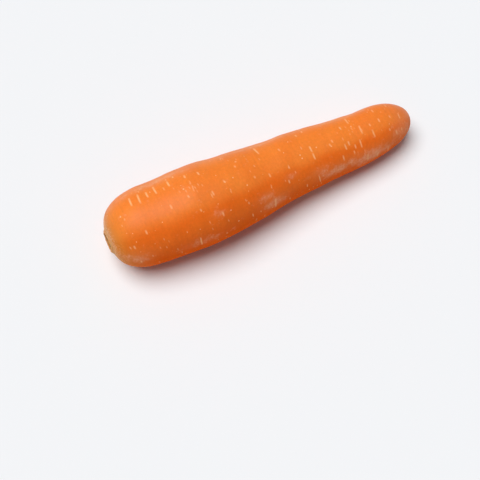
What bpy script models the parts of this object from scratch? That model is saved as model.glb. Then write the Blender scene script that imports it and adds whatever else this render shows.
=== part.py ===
"""A carrot, pulled and trimmed, lying on its side.

The root is one solid: a blunt, slightly bent taproot with a socket in its crown, and a low collar round
it. The leaf stalks were cut off level with the collar, and their stubs stand in that socket in two whorls
round a central bud.
Metres, +Z up. The origin is on the surface that the carrot lies on, under the middle of its box. The
crown points along -X and the tip along +X.
"""

import math

import bmesh
import bpy
from mathutils import Vector

MM = 0.001

# The root. Shares run along its length, from 0 at the crown to 1 at the tip.
ROOT_LENGTH = 181 * MM
BODY_RADII = (  # (share of the length, radius) of the tapering body, without its rounded ends
    (0.00, 20.6 * MM),
    (0.14, 21.1 * MM),
    (0.27, 21.9 * MM),
    (0.40, 20.4 * MM),
    (0.53, 18.1 * MM),
    (0.67, 16.4 * MM),
    (0.82, 14.6 * MM),
    (1.00, 13.6 * MM),
)
BEND = (  # (share of the length, sideways place of the middle line)
    (0.00, -1.7 * MM),
    (0.12, -1.8 * MM),
    (0.34, -3.1 * MM),
    (0.56, -0.2 * MM),
    (0.80, 0.8 * MM),
    (0.92, 2.1 * MM),
    (1.00, 2.5 * MM),
)
SHOULDER_LENGTH = 28 * MM  # the rounding from the crown to the full radius
SHOULDER_FULLNESS = 2.7  # 2 is an ellipse, more is squarer
TIP_LENGTH = 28 * MM
TIP_FULLNESS = 2.2
REST_DEPTH = 0.35 * MM  # how far the straight belly is flattened where it bears on the surface

# The cross-section is never quite round, and the skin swells and dips a little along the root.
OVAL_SHARE = 0.010
LOBE_SHARE = 0.008
SWELLS = (  # (height, waves along the root, waves round it, phase)
    (0.22 * MM, 3.3, 1, 0.4),
    (0.12 * MM, 6.1, 2, 2.1),
    (0.07 * MM, 10.7, 3, 4.0),
)

# The crown. Depths run from the crown's end into the root.
SOCKET_RADIUS = 5.1 * MM
SOCKET_DEPTH = 3.0 * MM
SOCKET_CORNER = 0.5 * MM
COLLAR_WIDTH = 2.8 * MM
COLLAR_HEIGHT = 1.05 * MM
TIP_SCAR_RADIUS = 1.3 * MM
TIP_SCAR_HEIGHT = 0.5 * MM

# The stubs. They keep a gap to the socket and to each other.
GAP = 0.3 * MM
BUD_RADIUS = 1.35 * MM
WHORLS = (  # name, number of stubs, inner radius, outer radius, turn, how far they stand out of the crown
    ("inner", 3, 1.65 * MM, 3.00 * MM, math.radians(20), 0.05 * MM),
    ("outer", 4, 3.30 * MM, 4.80 * MM, math.radians(62), 0.30 * MM),
)
BUD_STAND_OUT = 0.15 * MM
UNEVEN_CUT = 0.3 * MM  # the stubs of a whorl were cut at heights that differ by up to this

ROUND_STEPS = 48
BODY_STEPS = 34
END_STEPS = 9
COLLAR_STEPS = 6
STUB_STEPS = 7

SKIN_COLOUR = (0.80, 0.19, 0.012, 1.0)
STALK_COLOUR = (0.23, 0.17, 0.06, 1.0)
BUD_COLOUR = (0.42, 0.31, 0.07, 1.0)


def clear_scene():
    for obj in list(bpy.data.objects):
        bpy.data.objects.remove(obj)


def material(name, colour, roughness):
    made = bpy.data.materials.new(name)
    made.use_nodes = True
    shader = made.node_tree.nodes["Principled BSDF"]
    shader.inputs["Base Color"].default_value = colour
    shader.inputs["Roughness"].default_value = roughness
    shader.inputs["Metallic"].default_value = 0.0
    return made


def along(stations, share):
    """The value of a smooth curve through (share, value) stations."""
    share = min(max(share, stations[0][0]), stations[-1][0])
    for i in range(len(stations) - 1):
        if share <= stations[i + 1][0]:
            break
    (x0, y0), (x1, y1) = stations[i], stations[i + 1]
    before = stations[max(i - 1, 0)]
    after = stations[min(i + 2, len(stations) - 1)]
    slope0 = (y1 - before[1]) / (x1 - before[0])
    slope1 = (after[1] - y0) / (after[0] - x0)
    width = x1 - x0
    u = (share - x0) / width
    return (
        y0 * (2 * u**3 - 3 * u**2 + 1)
        + y1 * (3 * u**2 - 2 * u**3)
        + slope0 * width * (u**3 - 2 * u**2 + u)
        + slope1 * width * (u**3 - u**2)
    )


def end_share(distance, length, fullness):
    """How much of the body's radius a rounded end has, at this distance from its pole."""
    left = max(0.0, 1 - distance / length)
    return (1 - left**fullness) ** (1 / fullness)


def root_radius(distance):
    return (
        along(BODY_RADII, distance / ROOT_LENGTH)
        * end_share(distance, SHOULDER_LENGTH, SHOULDER_FULLNESS)
        * end_share(ROOT_LENGTH - TIP_SCAR_HEIGHT - distance, TIP_LENGTH, TIP_FULLNESS)
    )


def distance_where(radius, low, high):
    """The distance from the crown where the radius has this value, between a low and a high end."""
    for _ in range(40):
        middle = (low + high) / 2
        if (root_radius(middle) < radius) == (root_radius(low) < root_radius(high)):
            low = middle
        else:
            high = middle
    return (low + high) / 2


def collar_share(place):
    """How much of the collar's height it has, from 0 at the socket to 1 at its foot on the shoulder."""
    edge = 1 - max(0.0, 1 - place / 0.25) ** 2
    return (0.45 + 0.55 * edge) * math.cos(math.pi / 2 * place) ** 2


def root_profile():
    """(distance from the crown, radius) pairs: the socket, its collar, the shoulder, the body, the tip."""
    points = [
        (SOCKET_DEPTH, 0.0),
        (SOCKET_DEPTH, SOCKET_RADIUS * 0.5),
        (SOCKET_DEPTH, SOCKET_RADIUS - SOCKET_CORNER),
        (SOCKET_DEPTH - SOCKET_CORNER, SOCKET_RADIUS),
    ]
    for i in range(COLLAR_STEPS):
        radius = SOCKET_RADIUS + COLLAR_WIDTH * i / COLLAR_STEPS
        shoulder = distance_where(radius, 0, SHOULDER_LENGTH)
        points.append((shoulder - COLLAR_HEIGHT * collar_share(i / COLLAR_STEPS), radius))
    foot = distance_where(SOCKET_RADIUS + COLLAR_WIDTH, 0, SHOULDER_LENGTH)
    for i in range(END_STEPS + 1):
        points.append((foot + (SHOULDER_LENGTH - foot) * (i / END_STEPS) ** 2, None))
    body_end = ROOT_LENGTH - TIP_LENGTH
    for i in range(1, BODY_STEPS + 1):
        points.append((SHOULDER_LENGTH + (body_end - SHOULDER_LENGTH) * i / BODY_STEPS, None))
    scar = distance_where(TIP_SCAR_RADIUS, body_end, ROOT_LENGTH - TIP_SCAR_HEIGHT)
    for i in range(1, END_STEPS + 1):
        points.append((scar - (scar - body_end) * (1 - i / END_STEPS) ** 2, None))
    points = [(x, root_radius(x) if r is None else r) for x, r in points]
    points.append((ROOT_LENGTH - TIP_SCAR_HEIGHT * 0.3, TIP_SCAR_RADIUS * 0.8))
    points.append((ROOT_LENGTH, 0.0))
    return points


def spun(profile):
    """A closed mesh of revolution about X from (x, radius) pairs that start and end on the axis."""
    bm = bmesh.new()
    verts = [bm.verts.new((x, 0.0, radius)) for x, radius in profile]
    edges = [bm.edges.new(pair) for pair in zip(verts, verts[1:])]
    bmesh.ops.spin(
        bm,
        geom=verts + edges,
        cent=(0, 0, 0),
        axis=(1, 0, 0),
        angle=math.tau,
        steps=ROUND_STEPS,
        use_merge=True,
    )
    bmesh.ops.remove_doubles(bm, verts=bm.verts, dist=0.001 * MM)
    return bm


def swell(share, angle):
    """How far the skin stands out of the smooth taper. It dies away towards the ends and the belly."""
    height = sum(
        size * math.sin(math.tau * waves * share + round_waves * angle + phase)
        for size, waves, round_waves, phase in SWELLS
    )
    ends = min(1.0, share / 0.15, (1 - share) / 0.12)
    belly = 0.5 + 0.5 * math.sin(angle)
    return height * max(0.0, ends) * min(1.0, 0.15 + 1.2 * belly)


def middle_line(share):
    """The sideways and upward place of the root's middle. It sinks as the root tapers, so the belly
    is straight."""
    return along(BEND, share), along(BODY_RADII, share)


def grow_unevenly(bm):
    """Turns the body of revolution into a grown one: oval, lobed, swelling and bent."""
    for v in bm.verts:
        share = v.co.x / ROOT_LENGTH
        radius = math.hypot(v.co.y, v.co.z)
        angle = math.atan2(v.co.z, v.co.y)
        if radius > SOCKET_RADIUS * 1.05:
            blend = min(1.0, (radius - SOCKET_RADIUS) / (6 * MM))
            uneven = OVAL_SHARE * math.cos(2 * angle + 3.0 * share)
            uneven += LOBE_SHARE * math.cos(3 * angle - 5.0 * share + 1.0)
            radius = radius * (1 + uneven * blend) + swell(share, angle) * blend
            v.co.y = radius * math.cos(angle)
            v.co.z = radius * math.sin(angle)
        sideways, upward = middle_line(share)
        v.co.y += sideways
        v.co.z += upward


def flatten_belly(bm):
    """Cuts the underside level, just above the line where the carrot bears on the surface."""
    cut = bmesh.ops.bisect_plane(
        bm,
        geom=bm.verts[:] + bm.edges[:] + bm.faces[:],
        dist=0.01 * MM,
        plane_co=(0, 0, REST_DEPTH),
        plane_no=(0, 0, -1),
        clear_outer=True,
    )
    for v in cut["geom_cut"]:
        if isinstance(v, bmesh.types.BMVert):
            v.co.z = REST_DEPTH
    edges = [e for e in cut["geom_cut"] if isinstance(e, bmesh.types.BMEdge)]
    bmesh.ops.contextual_create(bm, geom=edges)


def finished(name, bm, mat, parent):
    """A smooth-shaded object of this mesh, under the given parent."""
    bmesh.ops.recalc_face_normals(bm, faces=bm.faces)
    mesh = bpy.data.meshes.new(name)
    bm.to_mesh(mesh)
    bm.free()
    mesh.shade_smooth()
    mesh.set_sharp_from_angle(angle=math.radians(40))
    mesh.materials.append(mat)
    obj = bpy.data.objects.new(name, mesh)
    bpy.context.scene.collection.objects.link(obj)
    obj.parent = parent
    return obj


def make_root(mat, parent):
    bm = spun(root_profile())
    grow_unevenly(bm)
    flatten_belly(bm)
    return finished("root", bm, mat, parent)


def crescent(inner, outer, half_angle):
    """The outline of a stalk's cross-section, hollow side to the middle, with its corners rounded off."""
    corner = (outer - inner) * 0.3
    points = []
    for i in range(STUB_STEPS + 1):
        angle = half_angle * (2 * i / STUB_STEPS - 1)
        ends = abs(2 * i / STUB_STEPS - 1) == 1
        points.append((outer - (corner if ends else 0), angle))
    for i in range(STUB_STEPS + 1):
        angle = half_angle * (1 - 2 * i / STUB_STEPS)
        ends = abs(1 - 2 * i / STUB_STEPS) == 1
        points.append((inner + (corner if ends else 0), angle))
    return points


def stub_mesh(outline, stand_out):
    """A cut stalk: its outline drawn out from the socket's floor, narrowing to a soft top edge."""
    bm = bmesh.new()
    base = SOCKET_DEPTH - GAP
    foot = bm.faces.new([bm.verts.new((base, r * math.cos(a), r * math.sin(a))) for r, a in outline])
    middle = foot.calc_center_median()
    shape = [v.co - middle for v in foot.verts]

    def set_top(face, x, size):
        for v, start in zip(face.verts, shape):
            v.co = Vector((x, middle.y + start.y * size, middle.z + start.z * size))

    drawn = bmesh.ops.extrude_face_region(bm, geom=[foot])["geom"]
    top = next(f for f in drawn if isinstance(f, bmesh.types.BMFace))
    set_top(top, 0.3 * base, 0.98)
    for share, size in ((0.8, 0.92), (1.0, 0.74)):
        top = bmesh.ops.extrude_discrete_faces(bm, faces=[top])["faces"][0]
        set_top(top, -share * stand_out, size)
    return bm


def make_stubs(stalk, bud, parent):
    """The bud in the middle of the socket, and the whorls of cut leaf stalks round it."""
    place = (0, *middle_line(0))
    made = []
    for whorl, count, inner, outer, turn, stand_out in WHORLS:
        half_angle = math.pi / count - GAP / (2 * inner)
        for i in range(count):
            cut = stand_out - UNEVEN_CUT * (i * 2 % count) / count
            stub = finished(
                f"leaf_stalk_{whorl}_{i + 1}",
                stub_mesh(crescent(inner, outer, half_angle), cut),
                stalk,
                parent,
            )
            stub.location = place
            stub.rotation_euler.x = turn + i * math.tau / count
            made.append(stub)
    disc = [(BUD_RADIUS, i * math.tau / (2 * STUB_STEPS)) for i in range(2 * STUB_STEPS)]
    heart = finished("crown_bud", stub_mesh(disc, BUD_STAND_OUT), bud, parent)
    heart.location = place
    made.append(heart)
    return made


def set_origin(parent, pieces):
    """Moves the pieces so that the origin is under the middle of their box."""
    bpy.context.view_layer.update()
    points = [p.matrix_world @ v.co for p in pieces for v in p.data.vertices]
    low = [min(p[i] for p in points) for i in range(3)]
    high = [max(p[i] for p in points) for i in range(3)]
    parent.location = (-(low[0] + high[0]) / 2, -(low[1] + high[1]) / 2, -low[2])


def main():
    clear_scene()
    carrot = bpy.data.objects.new("carrot", None)
    bpy.context.scene.collection.objects.link(carrot)
    pieces = [make_root(material("carrot_skin", SKIN_COLOUR, 0.45), carrot)]
    pieces += make_stubs(
        material("dried_stalk", STALK_COLOUR, 0.8), material("green_bud", BUD_COLOUR, 0.7), carrot
    )
    set_origin(carrot, pieces)


main()
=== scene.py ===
"""The looks of a fresh carrot that lies on its side on a plain pale surface.

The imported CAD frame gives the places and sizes. The root is modelled again with its fine skin: the swells
and furrows it grew with, the scars of its side roots and the creases round its crown. The cut leaf stalks
in the crown get their ribs and sunken pith, and the bud its folds.

In the tables and in the functions that shape the pieces, lengths are in millimetres and run along the root
from its crown, and turns are in degrees from the side that faces +Y, over the top.
"""

import math
import random

import bmesh
import bpy
from bpy.props import FloatProperty, FloatVectorProperty, IntProperty, PointerProperty
from mathutils import Matrix, Vector, noise


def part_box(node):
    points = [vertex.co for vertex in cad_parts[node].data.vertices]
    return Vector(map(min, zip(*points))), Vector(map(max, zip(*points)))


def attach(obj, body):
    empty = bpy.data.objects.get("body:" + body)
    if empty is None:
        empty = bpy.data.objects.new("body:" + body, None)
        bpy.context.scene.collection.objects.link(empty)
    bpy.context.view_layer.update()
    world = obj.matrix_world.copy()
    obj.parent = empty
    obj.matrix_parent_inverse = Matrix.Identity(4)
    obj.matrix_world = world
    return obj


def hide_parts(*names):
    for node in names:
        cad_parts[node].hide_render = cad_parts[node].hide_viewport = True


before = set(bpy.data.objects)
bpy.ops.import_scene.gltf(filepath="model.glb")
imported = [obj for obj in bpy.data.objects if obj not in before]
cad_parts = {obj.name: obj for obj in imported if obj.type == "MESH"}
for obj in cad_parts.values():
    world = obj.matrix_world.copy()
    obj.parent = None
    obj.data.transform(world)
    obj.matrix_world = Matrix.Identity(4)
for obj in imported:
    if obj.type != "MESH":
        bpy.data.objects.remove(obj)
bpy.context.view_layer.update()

bl_info = {
    "name": "Fresh Carrot",
    "version": (1, 0, 0),
    "blender": (4, 5, 0),
    "location": "3D View > Sidebar > Carrot",
    "description": "Models a trimmed fresh carrot round its CAD frame",
    "category": "Add Mesh",
}

MM = 0.001
SEED = 7

# The root's form, as the CAD has it except for COLLAR_LEAN and REST_BLEND. Shares run along its length, from
# 0 at the crown to 1 at the tip.
ROOT_LENGTH = 181.0
BODY_RADII = (  # (share of the length, radius) of the tapering body, without its rounded ends
    (0.00, 20.6),
    (0.14, 21.1),
    (0.27, 21.9),
    (0.40, 20.4),
    (0.53, 18.1),
    (0.67, 16.4),
    (0.82, 14.6),
    (1.00, 13.6),
)
BEND = (  # (share of the length, sideways place of the middle line)
    (0.00, -1.7),
    (0.12, -1.8),
    (0.34, -3.1),
    (0.56, -0.2),
    (0.80, 0.8),
    (0.92, 2.1),
    (1.00, 2.5),
)
SHOULDER_LENGTH, SHOULDER_FULLNESS = 28.0, 2.7
TIP_LENGTH, TIP_FULLNESS = 28.0, 2.2
TIP_SCAR_RADIUS, TIP_SCAR_HEIGHT = 1.3, 0.5
OVAL_SHARE, LOBE_SHARE = 0.010, 0.008
UNEVEN_FADE = 6.0  # how far from the socket the body is fully uneven
SWELLS = (  # (height, waves along the root, waves round it, phase)
    (0.22, 3.3, 1, 0.4),
    (0.12, 6.1, 2, 2.1),
    (0.07, 10.7, 3, 4.0),
)
REST_DEPTH = 0.35  # how deep the belly is flattened where it bears on the surface
REST_BLEND = 0.6  # the height over which the flattening dies away
SOCKET_RADIUS, SOCKET_DEPTH, SOCKET_CORNER = 5.1, 3.0, 0.5
COLLAR_WIDTH, COLLAR_HEIGHT = 2.8, 1.05
COLLAR_LEAN = 0.45  # how much lower the collar is on top
GAP = 0.3  # round the stalks and the bud

# The skin
LIT_SIDE_TURN = 68  # the turn of the side that is painted as lit; the skin turned away from it gets painted shade
CROWN_REACH, CROWN_REACH_UNDER = 23, 8  # how far the crown's tint goes, and how much farther it goes below
TIP_REACH = 22
CREASE_REACH = 11
SCAR_HALF_WIDTH, PORE_HALF_WIDTH = 0.42, 0.24
SCATTERED_PORES = 150

# Side roots left scars across the skin, in rows along it: the row's turn, then for each scar its distance
# from the crown and its length.
SCAR_ROWS = (
    (72, ((17, 6.0), (21.5, 6.4), (26, 4.8), (30.5, 6.4), (38, 4.4), (47, 2.8), (54, 3.0), (158, 2.6))),
    (63, ((88, 6.4), (112, 1.8), (142, 5.4), (167, 2.2))),
    (83, ((136, 2.4), (99, 1.6), (73, 1.4))),
    (101, ((115, 3.2), (44, 1.4), (64, 1.6), (128, 1.5))),
    (118, ((115, 3.0), (136.5, 2.6), (152, 4.2), (88, 1.4), (99.5, 1.6))),
    (126, ((143, 4.6), (139.5, 2.2), (18, 1.6), (47, 1.5), (134, 3.2), (162, 1.8))),
    (98, ((146, 5.0), (152, 1.6), (158, 2.2), (165, 1.8))),
    (142, ((131, 2.6), (138, 1.4), (166, 3.4), (170, 2.0), (10, 1.6), (57, 1.6), (72, 1.4), (97, 2.0))),
    (108, ((171, 3.4), (126, 1.6), (34, 1.3), (56, 1.8), (80, 1.3))),
)
FAR_SIDE_ROWS = (170, 214, 262, 318, 14)  # the turns of the rows that a rule fills in
PORE_CLUSTERS = (  # (distance, turn, number of pores)
    (48, 89, 16),
    (67, 60, 9),
    (77, 75, 6),
    (142, 90, 10),
    (24, 148, 6),
)

# Patches of skin that were rubbed against other roots in the sack: distance, turn, half the length, half
# the turn that they cover, and strength.
RUBBED_PATCHES = (
    (34, 50, 26, 9, 0.8),
    (92, 46, 28, 9, 0.8),
    (142, 46, 22, 9, 0.75),
    (9, 166, 8, 14, 0.8),
    (55, 137, 4, 5, 0.5),
    (82, 146, 5, 7, 0.7),
    (86, 163, 8, 10, 0.8),
    (99, 132, 4, 5, 0.5),
    (118, 148, 6, 9, 0.7),
    (126, 160, 10, 12, 0.9),
    (148, 166, 18, 17, 1.0),
    (170, 150, 9, 26, 0.6),
    (44, 172, 12, 9, 0.5),
    (30, 262, 14, 24, 0.8),
    (76, 292, 20, 18, 0.7),
    (118, 236, 16, 20, 0.8),
    (150, 318, 14, 26, 0.8),
    (58, 352, 12, 12, 0.7),
    (104, 14, 14, 10, 0.6),
)

# The cut leaf stalks: name in the CAD, number, inner and outer radius, turn, and the ribs on each.
WHORLS = (
    ("leaf_stalk_inner", 3, 1.65, 3.00, 20, 2),
    ("leaf_stalk_outer", 4, 3.30, 4.80, 62, 3),
)
STALK_SIDE_STEPS, STALK_STEPS = 26, 9  # along a side of the cross-section, and from the base to the cut
PITH_STEPS = (  # (how far inwards, and how far down as a share of the cut's depth)
    (0.16, 0.05),
    (0.14, 0.25),
    (0.12, 0.5),
)

# The window that lights the scene: the direction it lies in, and the degrees over which its light comes in.
WINDOW_DIRECTION = (-0.25, 0.14, 1.0)
WINDOW_SPREAD = 45
SENSOR_WIDTH = 36

# What a mesh tells its material, each from 0 to 1: how much of a groove, of a scar and so on is there.
STALK_LAYERS = ("groove", "cut", "heart")
SKIN_LAYERS = ("scar", "rubbed", "under", "crown", "collar", "cork", "tip")


def linear(code):
    """The linear colour of an sRGB hex code."""
    values = [int(code[i : i + 2], 16) / 255 for i in (0, 2, 4)]
    return [v / 12.92 if v <= 0.04045 else ((v + 0.055) / 1.055) ** 2.4 for v in values]


def colour(code, name, description):
    return FloatVectorProperty(
        name=name, description=description, subtype="COLOR", size=3, min=0, max=1, default=linear(code)
    )


def size(millimetres, name, description):
    return FloatProperty(name=name, description=description, unit="LENGTH", default=millimetres * MM)


def share(value, name, description):
    return FloatProperty(name=name, description=description, subtype="FACTOR", min=0, max=1, default=value)


class CarrotRoot(bpy.types.PropertyGroup):
    """The root's fine shape and its skin."""

    ring_spacing: size(0.28, "Ring Spacing", "Distance between the mesh's rings along the root")
    round_steps: IntProperty(
        name="Steps Round", description="Number of faces round the root", default=128, min=24
    )
    furrow_height: size(0.10, "Furrow Height", "How far the shallow furrows across the skin rise and fall")
    wrinkle_height: size(0.035, "Wrinkle Height", "How far the fine wrinkles across the skin rise and fall")
    scar_height: size(0.13, "Scar Height", "How far the lips of a side root's scar stand up")
    crease_height: size(0.30, "Crease Height", "How deep the creases are that run from the crown")
    skin: colour("F5842C", "Skin", "Orange of the ripe skin")
    mottle: colour("F07B26", "Mottle", "Redder orange in the mottles of the skin")
    # Painted shade: the skin turned away from the light is painted this deeper orange.
    under_skin: colour("EC5E04", "Under Skin", "Deep orange of the skin that lay away from the light")
    crown_skin: colour("CC8228", "Crown Skin", "Yellow-brown of the skin at the crown")
    tip_skin: colour("EC844E", "Tip Skin", "Paler orange of the skin at the tip")
    scar: colour("FFBE84", "Scar", "Cream of the scars and pores")
    scuff: colour("F4AC82", "Scuff", "Pale film where the skin was rubbed")
    collar: colour("DDA46C", "Collar", "Cream of the cracked collar round the stalks")
    # The socket inside the collar is painted this dark brown.
    cork: colour("3C220C", "Cork", "Dark brown of the corky skin inside the collar")
    roughness: share(0.50, "Roughness", "Roughness of the clean skin")


class CarrotCrown(bpy.types.PropertyGroup):
    """The cut leaf stalks and the bud."""

    rib_height: size(0.16, "Rib Height", "How far the stalks' ribs stand out")
    shrunk: size(0.3, "Shrunk", "How far the drying stalks drew back into the socket")
    cut_depth: size(0.35, "Cut Depth", "How deep the dried pith sank below the cut rim")
    stalk: colour("8C7A45", "Stalk", "Olive tan of the dried stalks")
    stalk_groove: colour("4E3C1C", "Stalk Groove", "Brown between the stalks' ribs")
    cut: colour("6E5428", "Cut", "Brown of the cut face")
    heart: colour("B4873C", "Heart", "Tan of the stalks in the middle")
    bud: colour("B08A38", "Bud", "Yellow-tan of the bud")


class CarrotStage(bpy.types.PropertyGroup):
    """The surface, the lights and the camera."""

    floor: colour("EEEFF1", "Floor", "Plain pale surface")
    floor_size: size(40000, "Floor Size", "Length of the surface's side")
    sky: colour("F8FCFF", "Sky", "Colour of the even light")
    sky_strength: FloatProperty(
        name="Sky Strength", description="Strength of the even light", default=0.16, min=0
    )
    backdrop: FloatProperty(
        name="Backdrop", description="Brightness behind the surface", default=0.95, min=0
    )
    window_strength: FloatProperty(
        name="Window", description="Strength of the soft window light", default=2.95, min=0
    )
    azimuth: FloatProperty(
        name="Azimuth",
        description="Camera's turn round the carrot",
        subtype="ANGLE",
        default=math.radians(-25.45),
    )
    elevation: FloatProperty(
        name="Elevation",
        description="Camera's height above the horizon",
        subtype="ANGLE",
        default=math.radians(64),
    )
    distance: size(479.8, "Distance", "Distance from the camera to the point it looks at")
    lens: FloatProperty(name="Lens", description="Focal length in millimetres", default=70.1, min=1)
    aim: FloatVectorProperty(
        name="Aim",
        description="The point the camera looks at, in front of the carrot and to its left",
        subtype="TRANSLATION",
        size=3,
        default=(-28.65 * MM, -26.95 * MM, 20.0 * MM),
    )


# Form


def along(stations, place):
    """The value of a smooth curve through (share, value) stations."""
    place = min(max(place, stations[0][0]), stations[-1][0])
    i = next(i for i in range(len(stations) - 1) if place <= stations[i + 1][0])
    (x0, y0), (x1, y1) = stations[i], stations[i + 1]
    before, after = stations[max(i - 1, 0)], stations[min(i + 2, len(stations) - 1)]
    slope0 = (y1 - before[1]) / (x1 - before[0])
    slope1 = (after[1] - y0) / (after[0] - x0)
    width = x1 - x0
    u = (place - x0) / width
    return (
        y0 * (2 * u**3 - 3 * u**2 + 1)
        + y1 * (3 * u**2 - 2 * u**3)
        + slope0 * width * (u**3 - 2 * u**2 + u)
        + slope1 * width * (u**3 - u**2)
    )


def end_share(distance, reach, fullness):
    """How much of the body's radius a rounded end has, at this distance from its pole."""
    left = min(max(0.0, 1 - distance / reach), 1.0)
    return (1 - left**fullness) ** (1 / fullness)


def root_radius(distance):
    return (
        along(BODY_RADII, distance / ROOT_LENGTH)
        * end_share(distance, SHOULDER_LENGTH, SHOULDER_FULLNESS)
        * end_share(ROOT_LENGTH - TIP_SCAR_HEIGHT - distance, TIP_LENGTH, TIP_FULLNESS)
    )


def ramp(value, low, high):
    """0 below low, 1 above high and smooth between them. High may be the smaller one."""
    u = min(max((value - low) / (high - low), 0.0), 1.0)
    return u * u * (3 - 2 * u)


def bell(value, middle, width):
    return math.exp(-(((value - middle) / width) ** 2))


def evenly(points, spacing):
    """A polyline's ends, and points between them at this spacing, or at half of it at the crown."""
    kept, last = [points[0]], points[0]
    for point in points[1:]:
        if math.dist(point, last) >= spacing * (0.5 if point[0] < SOCKET_DEPTH else 1):
            last = point
            kept.append(point)
    if math.dist(points[-1], kept[-1]) < spacing / 2:
        kept.pop()
    return kept + [points[-1]]


def collar_share(place):
    """How much of the collar's height it has, from 0 at the socket to 1 at its foot on the shoulder."""
    edge = 1 - max(0.0, 1 - place / 0.25) ** 2
    return (0.45 + 0.55 * edge) * math.cos(math.pi / 2 * place) ** 2


def shoulder_at(radius):
    """The distance from the crown where the smooth shoulder has this radius."""
    left = (1 - (radius / BODY_RADII[0][1]) ** SHOULDER_FULLNESS) ** (1 / SHOULDER_FULLNESS)
    return SHOULDER_LENGTH * (1 - left)


def root_outline(spacing):
    """(distance, radius) pairs from the socket's middle over its collar and along the root to the tip."""
    fine = 4000
    wall, turns, sides = SOCKET_RADIUS - SOCKET_CORNER, 9, 40
    points = [(SOCKET_DEPTH, wall * i / sides) for i in range(sides + 1)]
    for i in range(1, turns + 1):
        turn = math.pi / 2 * i / turns
        depth = SOCKET_DEPTH - SOCKET_CORNER * (1 - math.cos(turn))
        points.append((depth, wall + SOCKET_CORNER * math.sin(turn)))
    for i in range(sides + 1):
        radius = SOCKET_RADIUS + COLLAR_WIDTH * i / sides
        points.append((shoulder_at(radius) - COLLAR_HEIGHT * collar_share(i / sides), radius))
    foot, middle, end = points[-1][0], ROOT_LENGTH / 2, ROOT_LENGTH - TIP_SCAR_HEIGHT
    distances = [foot + (middle - foot) * (i / fine) ** 2 for i in range(1, fine + 1)]
    distances += [end - (end - middle) * (1 - i / fine) ** 2 for i in range(1, fine + 1)]
    points += [(distance, root_radius(distance)) for distance in distances]
    points = [p for p in points if p[0] < middle or p[1] > TIP_SCAR_RADIUS]
    rounded_edge = (ROOT_LENGTH - TIP_SCAR_HEIGHT * 0.3, TIP_SCAR_RADIUS * 0.8)
    return evenly(points + [rounded_edge, (ROOT_LENGTH, 0.0)], spacing)


def spun(outline, steps):
    """A closed mesh of revolution about X from an outline that starts and ends on the axis."""
    bm = bmesh.new()
    verts = [bm.verts.new((x, 0.0, radius)) for x, radius in outline]
    edges = [bm.edges.new(pair) for pair in zip(verts, verts[1:])]
    bmesh.ops.spin(
        bm,
        geom=verts + edges,
        cent=(0, 0, 0),
        axis=(1, 0, 0),
        angle=math.tau,
        steps=steps,
        use_merge=True,
    )
    bmesh.ops.remove_doubles(bm, verts=bm.verts, dist=0.001)
    bmesh.ops.recalc_face_normals(bm, faces=bm.faces)
    return bm


def swell(place, angle):
    """How far the skin stands out of the smooth taper. It dies away towards the ends and the belly."""
    height = sum(
        rise * math.sin(math.tau * waves * place + round_waves * angle + phase)
        for rise, waves, round_waves, phase in SWELLS
    )
    ends = min(1.0, place / 0.15, (1 - place) / 0.12)
    belly = 0.5 + 0.5 * math.sin(angle)
    return height * max(0.0, ends) * min(1.0, 0.15 + 1.2 * belly)


def grow_unevenly(bm):
    """Makes the body of revolution oval, lobed, swelling and bent, and its collar lower on top.

    Returns each vertex's distance from the crown, radius and angle before that.
    """
    grown_from = {}
    for v in bm.verts:
        place = v.co.x / ROOT_LENGTH
        radius = math.hypot(v.co.y, v.co.z)
        angle = math.atan2(v.co.z, v.co.y)
        grown_from[v] = (v.co.x, radius, angle)
        blend = min(max((radius - SOCKET_RADIUS) / UNEVEN_FADE, 0.0), 1.0)
        near_collar = ramp(radius, SOCKET_RADIUS + COLLAR_WIDTH + 2, SOCKET_RADIUS) * ramp(v.co.x, 3, 1)
        v.co.x += COLLAR_LEAN * near_collar * (1 + math.sin(angle)) / 2
        uneven = OVAL_SHARE * math.cos(2 * angle + 3.0 * place)
        uneven += LOBE_SHARE * math.cos(3 * angle - 5.0 * place + 1.0)
        radius = radius * (1 + uneven * blend) + swell(place, angle) * blend
        v.co.y = radius * math.cos(angle) + along(BEND, place)
        v.co.z = radius * math.sin(angle) + along(BODY_RADII, place)
    return grown_from


def side_root_scars(rng):
    """Every scar: (distance, turn, half its length, half its width, slant)."""
    scars = []
    for turn, row in SCAR_ROWS:
        for distance, long in row:
            row_turn = turn + rng.uniform(-3, 3)
            scars.append((distance, row_turn, long / 2, SCAR_HALF_WIDTH, rng.uniform(-0.1, 0.1)))
    for turn in FAR_SIDE_ROWS:
        distance = rng.uniform(9, 16)
        while distance < 172:
            long = (1.2 + 7.5 * rng.random() ** 2) * (1 - 0.3 * distance / ROOT_LENGTH)
            wide = rng.uniform(0.26, 0.44)
            scars.append((distance, turn + rng.uniform(-7, 7), long / 2, wide, rng.uniform(-0.15, 0.15)))
            distance += rng.uniform(4, 19)
    for _ in range(SCATTERED_PORES):  # where a side root never grew
        distance, turn, half_length = rng.uniform(8, 174), rng.uniform(0, 360), rng.uniform(0.25, 0.8)
        scars.append((distance, turn, half_length, PORE_HALF_WIDTH, rng.uniform(-0.2, 0.2)))
    for middle, middle_turn, count in PORE_CLUSTERS:
        for _ in range(count):
            distance, turn = rng.gauss(middle, 2.4), rng.gauss(middle_turn, 5)
            scars.append((distance, turn, rng.uniform(0.25, 0.5), PORE_HALF_WIDTH, 0.0))
    return scars


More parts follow.
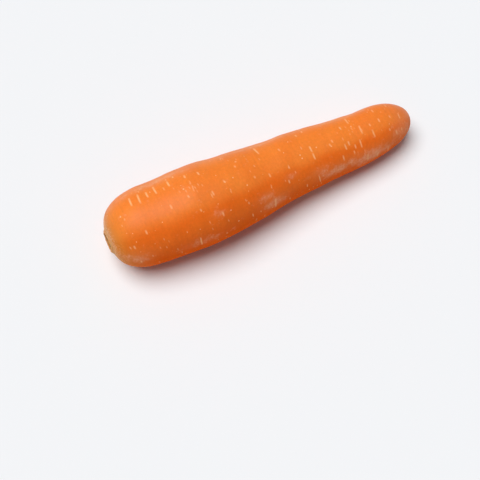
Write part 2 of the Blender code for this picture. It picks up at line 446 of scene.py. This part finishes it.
def scar_shape(distance, angle, radius, scars):
    """(paleness, height) of the scars at this spot, where height 1 is the top of a lip."""
    pale, height = 0.0, 0.0
    for middle, turn, half_length, half_width, slant in scars:
        sideways = math.remainder(angle - math.radians(turn), math.tau) * radius
        v = sideways / half_length
        if abs(v) > 2.2:
            continue
        bow = 0.25 * v * v * half_width
        u = (distance - middle - slant * sideways - bow) / half_width
        body = max(0.0, 1 - v * v)
        strength = min(1.0, half_length / 1.2)
        pale = max(pale, math.exp(-(u**4)) * body**0.25 * (0.55 + 0.45 * strength))
        height += strength * body * (1.1 * math.exp(-((u / 1.7) ** 2)) - 1.3 * math.exp(-((u / 0.7) ** 2)))
        height -= strength * 0.6 * math.exp(-((u / 5) ** 2) - v * v)
    return pale, height


def ripples(spot, long, wide, shift=(0, 0)):
    """Smooth noise whose features are this long along the root and this wide round it."""
    distance, y, z = spot
    return noise.noise((distance / long, y / wide + shift[0], z / wide + shift[1]))


def crown_creases(distance, radius, angle):
    """The height of the creases and cracks round the socket, as a share of the crease height."""
    y, z = math.cos(angle), math.sin(angle)
    from_rim = math.hypot(max(distance - 0.3, 0), max(radius - SOCKET_RADIUS - 0.6, 0))
    crease = noise.noise((y * 3.1, z * 3.1, from_rim / 9))
    crease -= 0.6 * abs(noise.noise((y * 7, z * 7, from_rim / 5 + 3)))
    crack = ramp(abs(noise.noise((y * 9, z * 9, radius / 3))), 0.12, 0.0)
    crack *= bell(radius, SOCKET_RADIUS + 0.8, 1.3)
    near_rim = ramp(from_rim, CREASE_REACH, 0.5) * ramp(radius, SOCKET_RADIUS - 0.5, SOCKET_RADIUS + 0.6)
    return near_rim * (crease - 0.45 - crack)


def skin_detail(settings, distance, radius, angle, scars):
    """(height, paleness of the scars) of the fine skin at this spot."""
    spot = (distance, radius * math.cos(angle), radius * math.sin(angle))
    ends = ramp(distance, 1.5, 9) * ramp(distance, ROOT_LENGTH, ROOT_LENGTH - 9)
    furrow = ripples(spot, 6.5, 17) + 0.5 * ripples(spot, 2.6, 12)
    wrinkle = ripples(spot, 0.75, 8, (0, 5)) * ramp(ripples(spot, 16, 16, (9, 0)), -0.25, 0.45)
    height = ends * (settings.furrow_height * (furrow - 0.35) + settings.wrinkle_height * wrinkle)
    if distance < 2 * CREASE_REACH:
        height += settings.crease_height * crown_creases(distance, radius, angle)

    pale, rise = scar_shape(distance, angle, radius, scars)
    fading = 1 - 0.28 * ramp(distance, 110, 150)  # the scars near the tip are fainter
    return height + settings.scar_height * rise * ends, pale * ends * fading


def painted_shade_share(distance, radius, angle):
    """How much painted shade the skin at this spot gets, more as it turns away from the lit side, with an
    uneven edge.
    """
    spot = (distance, radius * math.cos(angle), radius * math.sin(angle))
    facing = math.cos(angle - math.radians(LIT_SIDE_TURN)) + 0.1 * ripples(spot, 14, 9)
    return 0.6 * ramp(facing, 0.74, 0.44) + 0.4 * ramp(facing, 0.2, -0.5)


def rubbed(distance, turn):
    """How strongly the skin was rubbed at this spot."""
    return max(
        strength
        * bell(distance, middle, half_length)
        * bell(math.degrees(math.remainder(math.radians(turn - middle_turn), math.tau)), 0, half_turn)
        for middle, middle_turn, half_length, half_turn, strength in RUBBED_PATCHES
    )


def shape_skin(bm, settings):
    """Raises the fine skin along the normals, and paints where scars, rubbing, painted shade, crown, the
    dark socket and tip are.
    """
    near = {}  # the scars that reach each millimetre of the root
    for scar in side_root_scars(random.Random(SEED)):
        middle = int(scar[0])
        for cell in range(middle - 3, middle + 5):
            near.setdefault(cell, []).append(scar)
    layers = {name: bm.verts.layers.float.new(name) for name in SKIN_LAYERS}
    grown_from = grow_unevenly(bm)
    bm.normal_update()
    normals = {v: v.normal.copy() for v in bm.verts}
    for v, (distance, radius, angle) in grown_from.items():
        turn = math.degrees(angle) % 360
        height, pale = skin_detail(settings, distance, radius, angle, near.get(int(distance), ()))
        v.co += normals[v] * height / MM
        from_crown = math.hypot(distance, max(radius - SOCKET_RADIUS, 0))
        v[layers["scar"]] = pale
        # Painted shade: the skin turned away from the light gets a deeper orange; the same mask makes it
        # rougher and less shiny, with less sheen.
        under = painted_shade_share(distance, radius, angle)
        v[layers["under"]] = under
        v[layers["rubbed"]] = rubbed(distance, turn)
        v[layers["crown"]] = ramp(from_crown, CROWN_REACH + CROWN_REACH_UNDER * under, 0)
        if distance < SOCKET_DEPTH + 1:
            v[layers["collar"]] = ramp(radius, SOCKET_RADIUS + COLLAR_WIDTH + 1.2, SOCKET_RADIUS + 0.9)
            # The socket's wall and floor inside the collar are painted dark brown.
            v[layers["cork"]] = ramp(radius, SOCKET_RADIUS + 0.35, SOCKET_RADIUS) * ramp(distance, -0.2, 0.5)
        v[layers["tip"]] = ramp(distance, ROOT_LENGTH - TIP_REACH, ROOT_LENGTH)


def settle(bm):
    """Flattens the belly softly where it bears on the surface."""
    for v in bm.verts:
        over = v.co.z - REST_DEPTH
        if over <= REST_BLEND:
            over = REST_BLEND * math.exp(over / REST_BLEND - 1)
        v.co.z = REST_DEPTH + over


def fit(bm, box):
    """Fits the mesh to this box, in metres: the small change that the fine skin made is taken back."""
    low = [min(v.co[i] for v in bm.verts) for i in range(3)]
    high = [max(v.co[i] for v in bm.verts) for i in range(3)]
    box_low, box_high = box
    for v in bm.verts:
        for i in range(3):
            share_across = (v.co[i] - low[i]) / (high[i] - low[i])
            v.co[i] = box_low[i] + share_across * (box_high[i] - box_low[i])


def crown_middle():
    """The place of the crown's middle, in the CAD, where the smooth shoulder would end."""
    low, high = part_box("crown_bud")
    return Vector((high.x - (SOCKET_DEPTH - GAP) * MM, (low.y + high.y) / 2, (low.z + high.z) / 2))


def finished(name, bm, material, node):
    """A smooth piece of this mesh, in place of the CAD node."""
    mesh = bpy.data.meshes.new(name)
    bm.to_mesh(mesh)
    bm.free()
    mesh.shade_smooth()
    mesh.materials.append(material)
    piece = bpy.data.objects.new(name, mesh)
    bpy.context.scene.collection.objects.link(piece)
    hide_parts(node)
    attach(piece, "root")
    return piece


# Materials


def add(tree, kind, output=None, settings=(), **inputs):
    """Adds a node and returns one of its outputs, the first one unless output names another.

    Inputs are values, or sockets that are linked.
    """
    made = tree.nodes.new(kind)
    for name, value in dict(settings).items():
        setattr(made, name, value)
    for name, value in inputs.items():
        socket = next(s for s in made.inputs if s.enabled and s.name.replace(" ", "_") == name)
        if isinstance(value, bpy.types.NodeSocket):
            tree.links.new(value, socket)
        elif socket.type == "RGBA" and len(value) == 3:
            socket.default_value = (*value, 1)
        else:
            socket.default_value = value
    if not made.outputs:
        return None
    return next(s for s in made.outputs if s.enabled and output in (None, s.name))


def mixed(tree, factor, first, second):
    """The first colour, or the second one where the factor is 1."""
    return add(
        tree, "ShaderNodeMix", settings={"data_type": "RGBA"}, Factor=factor, A=first, B=second
    )


def sums(tree, operation, first, second, clamp=False):
    """The result of a sum on two numbers or sockets."""
    result = add(tree, "ShaderNodeMath", settings={"operation": operation, "use_clamp": clamp})
    for socket, value in zip(result.node.inputs, (first, second)):
        if isinstance(value, bpy.types.NodeSocket):
            tree.links.new(value, socket)
        else:
            socket.default_value = value
    return result


def product(tree, first, second):
    return sums(tree, "MULTIPLY", first, second)


def between(tree, value, low, high, start=0.0, end=1.0):
    """Turns the values from low to high into those from start to end, and holds the others there."""
    return add(
        tree, "ShaderNodeMapRange", Value=value, From_Min=low, From_Max=high, To_Min=start, To_Max=end
    )


def per_mm(spacing):
    """The scale that gives a pattern this spacing in millimetres."""
    return 1 / (spacing * MM)


def speckle(tree, place, spacing, detail=2.0, roughness=0.5):
    """Noise with this spacing in millimetres."""
    return add(
        tree, "ShaderNodeTexNoise", Vector=place, Scale=per_mm(spacing), Detail=detail, Roughness=roughness
    )


def raised(tree, height, depth, strength, below=None):
    """A relief of this depth in millimetres, on top of the one below."""
    under_it = {"Normal": below} if below else {}
    return add(
        tree, "ShaderNodeBump", Strength=strength, Distance=depth * MM, Height=height, **under_it
    )


def new_material(name):
    material = bpy.data.materials.new(name)
    material.use_nodes = True
    material.node_tree.nodes.clear()
    return material, material.node_tree


def skin_pores(tree, here, cluster):
    """Small dots and short dashes across the root, in loose clusters."""
    pores = 0.0
    for spacing, flat, most in ((2.6, 1.0, 0.17), (4.4, 0.45, 0.12)):
        place = add(tree, "ShaderNodeMapping", Vector=here, Scale=(1.0, flat, flat))
        cell = {"Vector": place, "Scale": per_mm(spacing), "Randomness": 1.0}
        away = add(tree, "ShaderNodeTexVoronoi", "Distance", **cell)
        cell_colour = add(tree, "ShaderNodeTexVoronoi", "Color", **cell)
        lot = add(tree, "ShaderNodeSeparateColor", "Red", Color=cell_colour)
        lot = sums(tree, "ADD", lot, product(tree, cluster, 0.9))
        reach = between(tree, lot, 0.99, 1.48, 0.0, most)
        pore = between(tree, sums(tree, "SUBTRACT", reach, away), -0.01, 0.05)
        pores = sums(tree, "MAXIMUM", pores, pore)
    return pores


def rubbed_film(tree, here, cluster, grain, rubbing):
    """The pale film where the skin was rubbed: a soft haze, and on it specks."""
    film = speckle(tree, here, 4.5, 7.0, 0.72)
    film = between(tree, sums(tree, "ADD", film, product(tree, rubbing, 0.30)), 0.60, 0.84)
    specks = product(tree, film, between(tree, grain, 0.40, 0.66, 0.35, 1.0))
    haze = product(tree, rubbing, between(tree, cluster, 0.3, 0.6, 0.2, 0.4))
    return sums(tree, "ADD", specks, haze, clamp=True)


def raw_carrot_skin(settings):
    """Washed raw carrot skin: a thin, moist, translucent peel over orange flesh.

    To the eye it is a deep orange that light enters a little way, with a broad satin shine, redder mottles,
    fine rings across it, cream pores and scars, and a pale film where it was rubbed.
    """
    material, tree = new_material("raw_carrot_skin")
    here = add(tree, "ShaderNodeTexCoord", "Object")
    scar, rubbing, under, crown, collar, cork, tip = (
        add(tree, "ShaderNodeAttribute", "Fac", {"attribute_name": name}) for name in SKIN_LAYERS
    )
    mottle = speckle(tree, here, 18)
    cluster = speckle(tree, here, 13, 1.0)
    grain = speckle(tree, here, 1.3, 4.0, 0.6)
    across = add(tree, "ShaderNodeMapping", Vector=here, Scale=(1.0, 0.12, 0.12))
    rings = speckle(tree, across, 1.4, 3.0, 0.6)

    # The orange deepens in the mottles and is painted as shade in a deeper orange on the side away from the
    # light; it pales at the tip and turns yellow-brown at the crown.
    base = mixed(tree, between(tree, mottle, 0.38, 0.62, 0.0, 0.8), settings.skin, settings.mottle)
    base = mixed(tree, under, base, settings.under_skin)
    base = mixed(tree, product(tree, tip, 0.55), base, settings.tip_skin)
    toward_crown = product(tree, sums(tree, "POWER", crown, 1.6), 0.9)
    base = mixed(tree, toward_crown, base, settings.crown_skin)
    shade = between(tree, grain, 0.3, 0.7, 0.95, 1.05)
    shade = product(tree, shade, between(tree, rings, 0.3, 0.7, 0.97, 1.03))
    base = add(tree, "ShaderNodeHueSaturation", Value=shade, Color=base)

    # Pores, the film where it was rubbed, and the scars of the side roots.
    base = mixed(tree, product(tree, skin_pores(tree, here, cluster), 0.9), base, settings.scar)
    film = rubbed_film(tree, here, cluster, grain, rubbing)
    base = mixed(tree, product(tree, film, 0.75), base, settings.scuff)
    broken = between(tree, grain, 0.25, 0.5, 0.6, 1.0)
    base = mixed(tree, product(tree, product(tree, scar, broken), 0.9), base, settings.scar)

    # A pale crust spreads on the crown, the collar is chipped, and the socket inside it is painted dark
    # brown.
    crust = between(tree, speckle(tree, here, 1.1, 5.0, 0.7), 0.52, 0.66)
    crust = product(tree, crust, between(tree, crown, 0.62, 0.95))
    base = mixed(tree, product(tree, crust, 0.6), base, settings.scar)
    chips = between(tree, speckle(tree, here, 0.9, 5.0, 0.65), 0.36, 0.52)
    base = mixed(tree, product(tree, product(tree, collar, chips), 0.9), base, settings.collar)
    base = mixed(tree, cork, base, settings.cork)

    rough = sums(tree, "ADD", product(tree, film, 0.18), product(tree, grain, 0.10))
    rough = sums(tree, "ADD", rough, settings.roughness - 0.05)
    rough = sums(tree, "ADD", rough, product(tree, under, 0.35))
    rough = sums(tree, "ADD", rough, product(tree, cork, 0.3), clamp=True)

    # A dusty bloom shows at the edges, most of all round the crown.
    bloom = product(tree, sums(tree, "SUBTRACT", 1.0, under), 0.26)
    bloom = sums(tree, "MAXIMUM", bloom, product(tree, crown, 0.55))

    bump = raised(tree, speckle(tree, here, 0.45), 0.05, 0.3)
    bump = raised(tree, rings, 0.06, 0.3, bump)
    bump = raised(tree, crust, 0.25, 0.6, bump)

    shader = add(
        tree,
        "ShaderNodeBsdfPrincipled",
        Base_Color=base,
        Roughness=rough,
        Normal=bump,
        IOR=1.34,
        Specular_IOR_Level=sums(tree, "SUBTRACT", 0.5, product(tree, under, 0.45)),
        Subsurface_Weight=0.15,
        Subsurface_Radius=(1.0, 0.35, 0.12),
        Subsurface_Scale=1.2 * MM,
        Sheen_Weight=bloom,
        Sheen_Roughness=0.35,
        Sheen_Tint=linear("FFD9BE"),
    )
    add(tree, "ShaderNodeOutputMaterial", Surface=shader)
    return material


def dried_leaf_stalk(settings):
    """Dried leaf stalk: tough fibres in ribs, with shrunken pith between them.

    To the eye it is dull olive tan with brown grooves, and streaks that run the way the leaf grew.
    """
    material, tree = new_material("dried_leaf_stalk")
    here = add(tree, "ShaderNodeTexCoord", "Object")
    groove, cut, heart = (
        add(tree, "ShaderNodeAttribute", "Fac", {"attribute_name": name}) for name in STALK_LAYERS
    )
    lengthways = add(tree, "ShaderNodeMapping", Vector=here, Scale=(0.2, 1.0, 1.0))
    fibre = speckle(tree, lengthways, 0.35, 3.0)
    blotch = speckle(tree, here, 1.5, 3.0)
    base = mixed(tree, groove, settings.stalk, settings.stalk_groove)
    base = mixed(tree, product(tree, cut, 0.8), base, settings.cut)
    base = mixed(tree, product(tree, heart, 0.8), base, settings.heart)
    base = mixed(tree, between(tree, blotch, 0.45, 0.7, 0.0, 0.7), base, settings.stalk_groove)
    streak = between(tree, fibre, 0.3, 0.7, 0.75, 1.25)
    base = add(tree, "ShaderNodeHueSaturation", Value=streak, Color=base)
    bump = raised(tree, fibre, 0.12, 0.7)
    shader = add(tree, "ShaderNodeBsdfPrincipled", Base_Color=base, Roughness=0.8, Normal=bump, IOR=1.45)
    add(tree, "ShaderNodeOutputMaterial", Surface=shader)
    return material


def green_bud(settings):
    """The living heart of the crown: packed young leaf bases, matt and a little translucent."""
    material, tree = new_material("green_bud")
    here = add(tree, "ShaderNodeTexCoord", "Object")
    blotch = speckle(tree, here, 0.8, 4.0)
    base = mixed(tree, between(tree, blotch, 0.4, 0.7), settings.bud, settings.stalk_groove)
    bump = raised(tree, blotch, 0.1, 0.6)
    shader = add(tree, "ShaderNodeBsdfPrincipled", Base_Color=base, Roughness=0.7, Normal=bump, IOR=1.45)
    add(tree, "ShaderNodeOutputMaterial", Surface=shader)
    return material


def matt_white_paper(settings):
    """Matt white paper: an even, soft surface with only a faint grain."""
    material, tree = new_material("matt_white_paper")
    here = add(tree, "ShaderNodeTexCoord", "Object")
    bump = raised(tree, speckle(tree, here, 0.6), 0.02, 0.1)
    shader = add(
        tree, "ShaderNodeBsdfPrincipled", Base_Color=settings.floor, Roughness=0.9, Normal=bump, IOR=1.45
    )
    add(tree, "ShaderNodeOutputMaterial", Surface=shader)
    return material


# Pieces


class CARROT_OT_root(bpy.types.Operator):
    """Grow the root with its fine skin"""

    bl_idname = "carrot.root"
    bl_label = "Root"

    def execute(self, context):
        settings = context.scene.carrot_root
        bm = spun(root_outline(settings.ring_spacing / MM), settings.round_steps)
        shape_skin(bm, settings)
        settle(bm)
        fit(bm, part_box("root"))
        finished("carrot_root", bm, raw_carrot_skin(settings), "root")
        return {"FINISHED"}


def crescent(inner, outer, half_angle, ribs, rib_height):
    """(radius, angle, groove) round a stalk's cross-section: ribbed outside, plain on its hollow side."""
    corner = (outer - inner) * 0.35
    steps = STALK_SIDE_STEPS
    points = []
    for i in range(steps + 1):
        u = 2 * i / steps - 1
        rib = 0.5 + 0.5 * math.cos(u * math.pi * ribs)
        rounding = corner * u**8
        points.append((outer - rounding - rib_height * (1 - rib), half_angle * u, 1 - rib))
    for i in range(steps + 1):
        u = 1 - 2 * i / steps
        points.append((inner + corner * u**8, half_angle * u, 0.3))
    return points


def stalk_mesh(settings, whorl, index, top):
    """A ribbed stub with a ragged cut end, in millimetres about the crown's middle."""
    _, count, inner, outer, _, ribs = whorl
    half_angle = math.pi / count - GAP / (2 * inner)
    outline = crescent(inner, outer, half_angle, ribs, settings.rib_height / MM)
    bm = bmesh.new()
    layers = {name: bm.verts.layers.float.new(name) for name in STALK_LAYERS}
    base = SOCKET_DEPTH - GAP
    face = bm.faces.new([bm.verts.new((base, r * math.cos(a), r * math.sin(a))) for r, a, _ in outline])
    middle = face.calc_center_median()
    shape = [v.co - middle for v in face.verts]
    for step in range(1, STALK_STEPS + 1):
        if step == 1:
            grown = bmesh.ops.extrude_face_region(bm, geom=[face])["geom"]
            face = next(f for f in grown if isinstance(f, bmesh.types.BMFace))
        else:
            face = bmesh.ops.extrude_discrete_faces(bm, faces=[face])["faces"][0]
        u = step / STALK_STEPS
        width = 1 - 0.06 * u - 0.12 * max(0, u - 0.8) / 0.2
        for v, start, (_, _, groove) in zip(face.verts, shape, outline):
            ragged = 0.25 + noise.noise((start.y * 1.7 + index * 7, start.z * 1.7, count)) * 0.35
            x = max(base - (base - top) * u + ragged * u * u, top)
            v.co = Vector((x, middle.y + start.y * width, middle.z + start.z * width))
            v[layers["groove"]] = groove
            v[layers["cut"]] = ramp(u, 0.85, 1.0)
    for inset, depth in PITH_STEPS:
        bmesh.ops.inset_individual(bm, faces=[face], thickness=inset, use_even_offset=False)
        for v in face.verts:
            v.co.x += settings.cut_depth / MM * depth
            v[layers["cut"]] = 1
            v[layers["groove"]] = 0.2
    for v in bm.verts:
        v[layers["heart"]] = ramp(math.hypot(v.co.y, v.co.z), 3.6, 2.4)
    return bm


class CARROT_OT_stalks(bpy.types.Operator):
    """Cut the two whorls of leaf stalks"""

    bl_idname = "carrot.stalks"
    bl_label = "Leaf Stalks"

    def execute(self, context):
        settings = context.scene.carrot_crown
        material = dried_leaf_stalk(settings)
        crown = crown_middle()
        for whorl in WHORLS:
            name, count, _, _, turn, _ = whorl
            for i in range(count):
                node = f"{name}_{i + 1}"
                top = (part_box(node)[0].x - crown.x + settings.shrunk) / MM
                bm = stalk_mesh(settings, whorl, i, top)
                angle = math.radians(turn) + i * math.tau / count
                place = Matrix.Translation(crown) @ Matrix.Rotation(angle, 4, "X") @ Matrix.Scale(MM, 4)
                bmesh.ops.transform(bm, matrix=place, verts=bm.verts)
                bmesh.ops.recalc_face_normals(bm, faces=bm.faces)
                finished(f"{node}_fibres", bm, material, node)
        return {"FINISHED"}


class CARROT_OT_bud(bpy.types.Operator):
    """Set the bud in the middle of the crown"""

    bl_idname = "carrot.bud"
    bl_label = "Bud"

    def execute(self, context):
        settings = context.scene.carrot_crown
        low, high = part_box("crown_bud")
        middle, half = (low + high) / 2, (high - low) / 2
        bm = bmesh.new()
        bmesh.ops.create_uvsphere(bm, u_segments=48, v_segments=32, radius=1)
        for v in bm.verts:
            x, y, z = v.co
            angle = math.atan2(z, y)
            scale = 1 - 0.12 * abs(math.sin(2.5 * angle + 2 * x)) * ramp(abs(x), 1, 0.3)
            full = 1 - max(0, -x) ** 6 * 0.05
            v.co = middle + Vector((x * half.x * full, y * half.y * scale, z * half.z * scale))
        finished("crown_bud_heart", bm, green_bud(settings), "crown_bud")
        return {"FINISHED"}


def lay_surface(scene, settings):
    """The plain surface, which isn't a part of the carrot."""
    bm = bmesh.new()
    bmesh.ops.create_grid(bm, x_segments=1, y_segments=1, size=settings.floor_size / 2)
    mesh = bpy.data.meshes.new("floor")
    bm.to_mesh(mesh)
    bm.free()
    mesh.materials.append(matt_white_paper(settings))
    floor = bpy.data.objects.new("floor", mesh)
    scene.collection.objects.link(floor)


def hang_lights(scene, settings):
    """The soft light of a window, and an even sky that looks brighter to the camera than it lights."""
    scene.world = bpy.data.worlds.new("even_light")
    scene.world.use_nodes = True
    tree = scene.world.node_tree
    background = tree.nodes["Background"]
    background.inputs["Color"].default_value = (*settings.sky, 1)
    seen = add(tree, "ShaderNodeLightPath", "Is Camera Ray")
    strength = between(tree, seen, 0.0, 1.0, settings.sky_strength, settings.backdrop)
    tree.links.new(strength, background.inputs["Strength"])

    window = bpy.data.lights.new("window", "SUN")
    window.energy = settings.window_strength
    window.angle = math.radians(WINDOW_SPREAD)
    light = bpy.data.objects.new("window", window)
    light.rotation_euler = Vector(WINDOW_DIRECTION).to_track_quat("Z", "Y").to_euler()
    scene.collection.objects.link(light)


def set_camera(scene, settings):
    """The camera, which looks down at the carrot from its side."""
    camera = bpy.data.cameras.new("camera")
    camera.lens = settings.lens
    camera.sensor_width = SENSOR_WIDTH
    flat = math.cos(settings.elevation)
    back = Vector(
        (
            math.sin(settings.azimuth) * flat,
            -math.cos(settings.azimuth) * flat,
            math.sin(settings.elevation),
        )
    )
    view = bpy.data.objects.new("camera", camera)
    view.location = Vector(settings.aim) + back * settings.distance
    view.rotation_euler = back.to_track_quat("Z", "Y").to_euler()
    scene.collection.objects.link(view)
    scene.camera = view


class CARROT_OT_stage(bpy.types.Operator):
    """Lay the surface, light it and set the camera"""

    bl_idname = "carrot.stage"
    bl_label = "Stage"

    def execute(self, context):
        scene, settings = context.scene, context.scene.carrot_stage
        lay_surface(scene, settings)
        hang_lights(scene, settings)
        set_camera(scene, settings)
        scene.view_settings.view_transform = "Standard"
        return {"FINISHED"}


class CARROT_PT_panel(bpy.types.Panel):
    """The carrot's pieces"""

    bl_label = "Fresh Carrot"
    bl_idname = "CARROT_PT_panel"
    bl_space_type = "VIEW_3D"
    bl_region_type = "UI"
    bl_category = "Carrot"

    def draw(self, context):
        for operator in OPERATORS:
            self.layout.operator(operator.bl_idname)


OPERATORS = (CARROT_OT_root, CARROT_OT_stalks, CARROT_OT_bud, CARROT_OT_stage)
SETTINGS = {"carrot_root": CarrotRoot, "carrot_crown": CarrotCrown, "carrot_stage": CarrotStage}


def register():
    for kind in (*SETTINGS.values(), *OPERATORS, CARROT_PT_panel):
        bpy.utils.register_class(kind)
    for name, kind in SETTINGS.items():
        setattr(bpy.types.Scene, name, PointerProperty(type=kind))


def unregister():
    for name in SETTINGS:
        delattr(bpy.types.Scene, name)
    for kind in (CARROT_PT_panel, *reversed(OPERATORS), *SETTINGS.values()):
        bpy.utils.unregister_class(kind)


def main():
    register()
    bpy.ops.carrot.root()
    bpy.ops.carrot.stalks()
    bpy.ops.carrot.bud()
    bpy.ops.carrot.stage()


if __name__ == "__main__":
    main()
